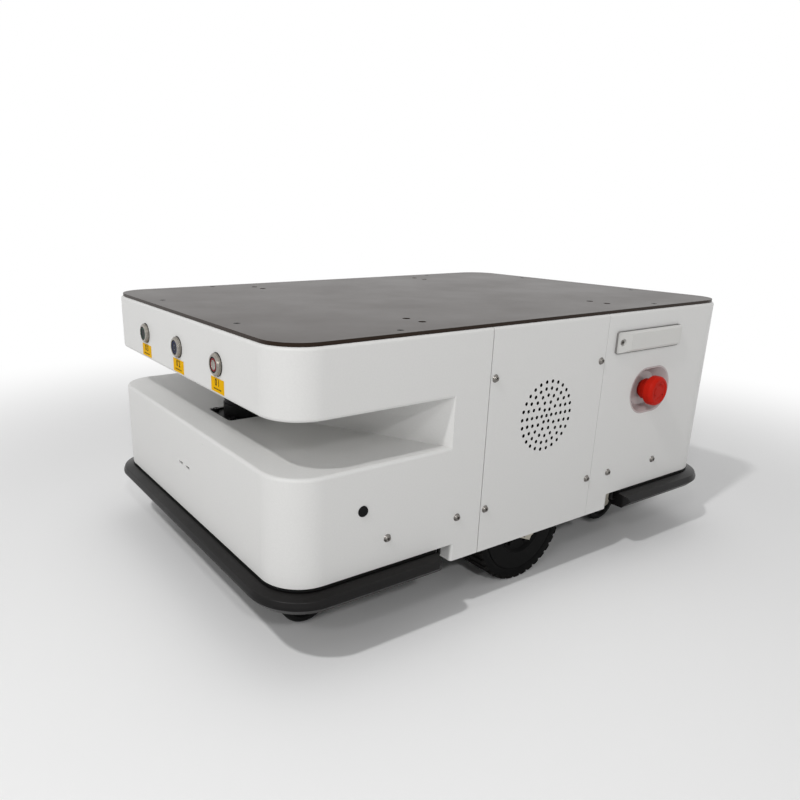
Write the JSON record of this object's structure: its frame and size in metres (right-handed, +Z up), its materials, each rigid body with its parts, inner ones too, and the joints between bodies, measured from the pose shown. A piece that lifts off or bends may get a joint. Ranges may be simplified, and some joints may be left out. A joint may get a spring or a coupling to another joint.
{
  "type": "autonomous mobile robot",
  "caption": "Low rounded-box mobile robot base with a flat load plate, a scanner slot in its nose, sprung drive wheels and swivel casters.",
  "frame": {"origin": "on the floor, under the middle of the body", "axes": "+X towards the nose with the scanner slot, +Y to the left side with the stop button, +Z up"},
  "size_m": [0.7604, 0.5304, 0.347],
  "materials": {
    "white_coated_steel": "satin white powder coat with a fine texture",
    "load_plate_black": "semi-gloss black",
    "black_coated_steel": "matt black coating",
    "stainless": "plain stainless",
    "bumper_rubber": "smooth black rubber",
    "white_plastic": "satin moulded",
    "bowl_plastic": "glossy grey",
    "black_plastic": "satin",
    "red_plastic": "gloss",
    "chrome_bezel": "polished",
    "button_lens": "gloss with a lit ring",
    "label_yellow": "satin",
    "battery_case": "matt",
    "aluminium_case": "anodised",
    "zinc_plated": "zinc plated",
    "black_painted": "black",
    "tyre_rubber": "lugged rubber",
    "caster_tread": "black polyurethane"
  },
  "bodies": {
    "chassis": {"antenna_cover": "white_plastic", "base_plate": "black_coated_steel", "battery_pack": "battery_case", "bumper_front": "bumper_rubber", "bumper_leads": "bumper_rubber", "bumper_rail_front": "black_coated_steel", "bumper_rail_rear": "black_coated_steel", "bumper_rear": "bumper_rubber", "button_bezels": "chrome_bezel", "button_labels": "label_yellow", "caster_plates": "zinc_plated", "charge_socket": "black_plastic", "control_computer": "aluminium_case", "cover_screws": "stainless", "drive_controller": "aluminium_case", "estop_body": "black_plastic", "estop_bowl": "bowl_plastic", "front_bulkhead": "black_coated_steel", "hole_plugs": "black_plastic", "lidar_body": "black_plastic", "lidar_cap": "black_plastic", "lidar_mount": "black_coated_steel", "lidar_window": "black_plastic", "load_plate": "load_plate_black", "load_plate_screws": "black_coated_steel", "nose_cover": "white_coated_steel", "pivot_pins": "stainless", "rear_bulkhead": "black_coated_steel", "side_panel_left": "white_coated_steel", "side_panel_right": "white_coated_steel", "side_rail_left": "black_coated_steel", "side_rail_right": "black_coated_steel", "speaker": "black_plastic", "suspension_bracket_left": "zinc_plated", "suspension_bracket_right": "zinc_plated", "suspension_spring_left": "zinc_plated", "suspension_spring_right": "zinc_plated", "tail_cover": "white_coated_steel"},
    "stop_slide": {"estop_stem": "zinc_plated"},
    "stop_head": {"estop_head": "red_plastic"},
    "button_left": {"button_cap_left": "button_lens"},
    "button_centre": {"button_cap_centre": "button_lens"},
    "button_right": {"button_cap_right": "button_lens"},
    "scanner_head": {"lidar_rotor": "stainless"},
    "arm_left": {"drive_arm_left": "zinc_plated", "hub_shaft_left": "zinc_plated"},
    "wheel_left": {"wheel_rim_left": "black_painted", "tyre_left": "tyre_rubber"},
    "arm_right": {"drive_arm_right": "zinc_plated", "hub_shaft_right": "zinc_plated"},
    "wheel_right": {"wheel_rim_right": "black_painted", "tyre_right": "tyre_rubber"},
    "caster_front_left": {"caster_fork_front_left": "zinc_plated"},
    "caster_roller_front_left": {"caster_wheel_front_left": "caster_tread"},
    "caster_front_right": {"caster_fork_front_right": "zinc_plated"},
    "caster_roller_front_right": {"caster_wheel_front_right": "caster_tread"},
    "caster_rear_left": {"caster_fork_rear_left": "zinc_plated"},
    "caster_roller_rear_left": {"caster_wheel_rear_left": "caster_tread"},
    "caster_rear_right": {"caster_fork_rear_right": "zinc_plated"},
    "caster_roller_rear_right": {"caster_wheel_rear_right": "caster_tread"}
  },
  "joints": [
    {"name": "stop_push", "type": "slide", "parent": "chassis", "child": "stop_slide", "axis": [0, -1, 0], "range_m": [0, 0.004]},
    {"name": "stop_twist", "type": "hinge", "parent": "stop_slide", "child": "stop_head", "pos_m": [-0.206, 0.25, 0.234], "axis": [0, 1, 0], "range_deg": [0, 45], "stiffness_Nm_per_rad": 0.02},
    {"name": "button_push_left", "type": "slide", "parent": "chassis", "child": "button_left", "axis": [-1, 0, 0], "range_m": [0, 0.002], "stiffness_N_per_m": 400},
    {"name": "button_push_centre", "type": "slide", "parent": "chassis", "child": "button_centre", "axis": [-1, 0, 0], "range_m": [0, 0.002], "stiffness_N_per_m": 400},
    {"name": "button_push_right", "type": "slide", "parent": "chassis", "child": "button_right", "axis": [-1, 0, 0], "range_m": [0, 0.002], "stiffness_N_per_m": 400},
    {"name": "scanner_spin", "type": "hinge", "parent": "chassis", "child": "scanner_head", "pos_m": [0.276, 0, 0.2385], "axis": [0, 0, 1], "continuous": true},
    {"name": "arm_swing_left", "type": "hinge", "parent": "chassis", "child": "arm_left", "pos_m": [-0.105, 0.165, 0.15], "axis": [0, 1, 0], "range_deg": [-5, 5], "stiffness_Nm_per_rad": 300, "springref_deg": 1.72, "deforming": ["suspension_spring_left"]},
    {"name": "wheel_spin_left", "type": "hinge", "parent": "arm_left", "child": "wheel_left", "pos_m": [0, 0.2025, 0.075], "axis": [0, 1, 0], "continuous": true},
    {"name": "arm_swing_right", "type": "hinge", "parent": "chassis", "child": "arm_right", "pos_m": [-0.105, -0.165, 0.15], "axis": [0, 1, 0], "range_deg": [-5, 5], "stiffness_Nm_per_rad": 300, "springref_deg": 1.72, "deforming": ["suspension_spring_right"]},
    {"name": "wheel_spin_right", "type": "hinge", "parent": "arm_right", "child": "wheel_right", "pos_m": [0, -0.2025, 0.075], "axis": [0, 1, 0], "continuous": true},
    {"name": "caster_swivel_front_left", "type": "hinge", "parent": "chassis", "child": "caster_front_left", "pos_m": [0.27, 0.16, 0.0835], "axis": [0, 0, 1], "continuous": true},
    {"name": "caster_roll_front_left", "type": "hinge", "parent": "caster_front_left", "child": "caster_roller_front_left", "pos_m": [0.29, 0.16, 0.0325], "axis": [0, 1, 0], "continuous": true},
    {"name": "caster_swivel_front_right", "type": "hinge", "parent": "chassis", "child": "caster_front_right", "pos_m": [0.27, -0.16, 0.0835], "axis": [0, 0, 1], "continuous": true},
    {"name": "caster_roll_front_right", "type": "hinge", "parent": "caster_front_right", "child": "caster_roller_front_right", "pos_m": [0.29, -0.16, 0.0325], "axis": [0, 1, 0], "continuous": true},
    {"name": "caster_swivel_rear_left", "type": "hinge", "parent": "chassis", "child": "caster_rear_left", "pos_m": [-0.27, 0.16, 0.0835], "axis": [0, 0, 1], "continuous": true},
    {"name": "caster_roll_rear_left", "type": "hinge", "parent": "caster_rear_left", "child": "caster_roller_rear_left", "pos_m": [-0.25, 0.16, 0.0325], "axis": [0, 1, 0], "continuous": true},
    {"name": "caster_swivel_rear_right", "type": "hinge", "parent": "chassis", "child": "caster_rear_right", "pos_m": [-0.27, -0.16, 0.0835], "axis": [0, 0, 1], "continuous": true},
    {"name": "caster_roll_rear_right", "type": "hinge", "parent": "caster_rear_right", "child": "caster_roller_rear_right", "pos_m": [-0.25, -0.16, 0.0325], "axis": [0, 1, 0], "continuous": true}
  ]
}
